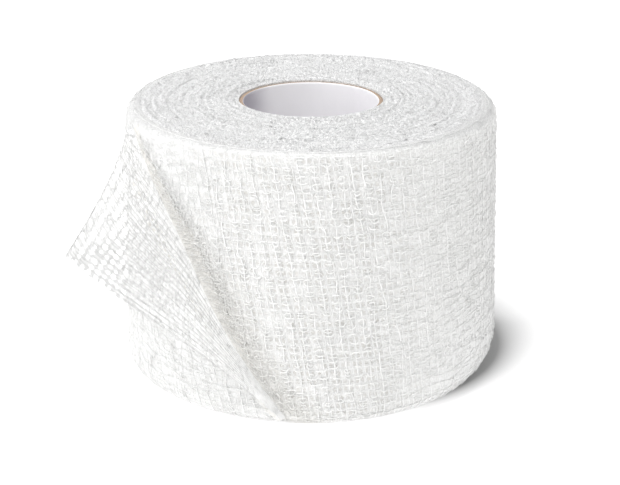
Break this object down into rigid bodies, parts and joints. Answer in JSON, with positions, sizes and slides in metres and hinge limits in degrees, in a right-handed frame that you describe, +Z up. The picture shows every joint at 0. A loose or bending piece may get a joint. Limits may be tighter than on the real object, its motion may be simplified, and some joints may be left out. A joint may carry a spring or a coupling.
{
  "type": "cohesive bandage roll",
  "caption": "Roll of white cohesive gauze bandage on a hollow card core, standing on end, with the corner of its loose end folded back.",
  "frame": {"origin": "middle of the footprint of the whole part, loose corner included, on the surface that it stands on", "axes": "+Z up along the roll's axis; -Y is the front, which the folded corner lies on; the corner points to -X"},
  "size_m": [0.0902, 0.085, 0.06],
  "materials": {
    "gauze": "matt open crepe gauze, many turns deep",
    "card": "card tube lined with smooth white paper, bare tan at its cut rims",
    "loose_gauze": "single layer of matt open crepe gauze, see-through"
  },
  "bodies": {
    "root": {"wound_roll": "gauze", "core_tube": "card", "loose_end": "loose_gauze"}
  },
  "joints": []
}
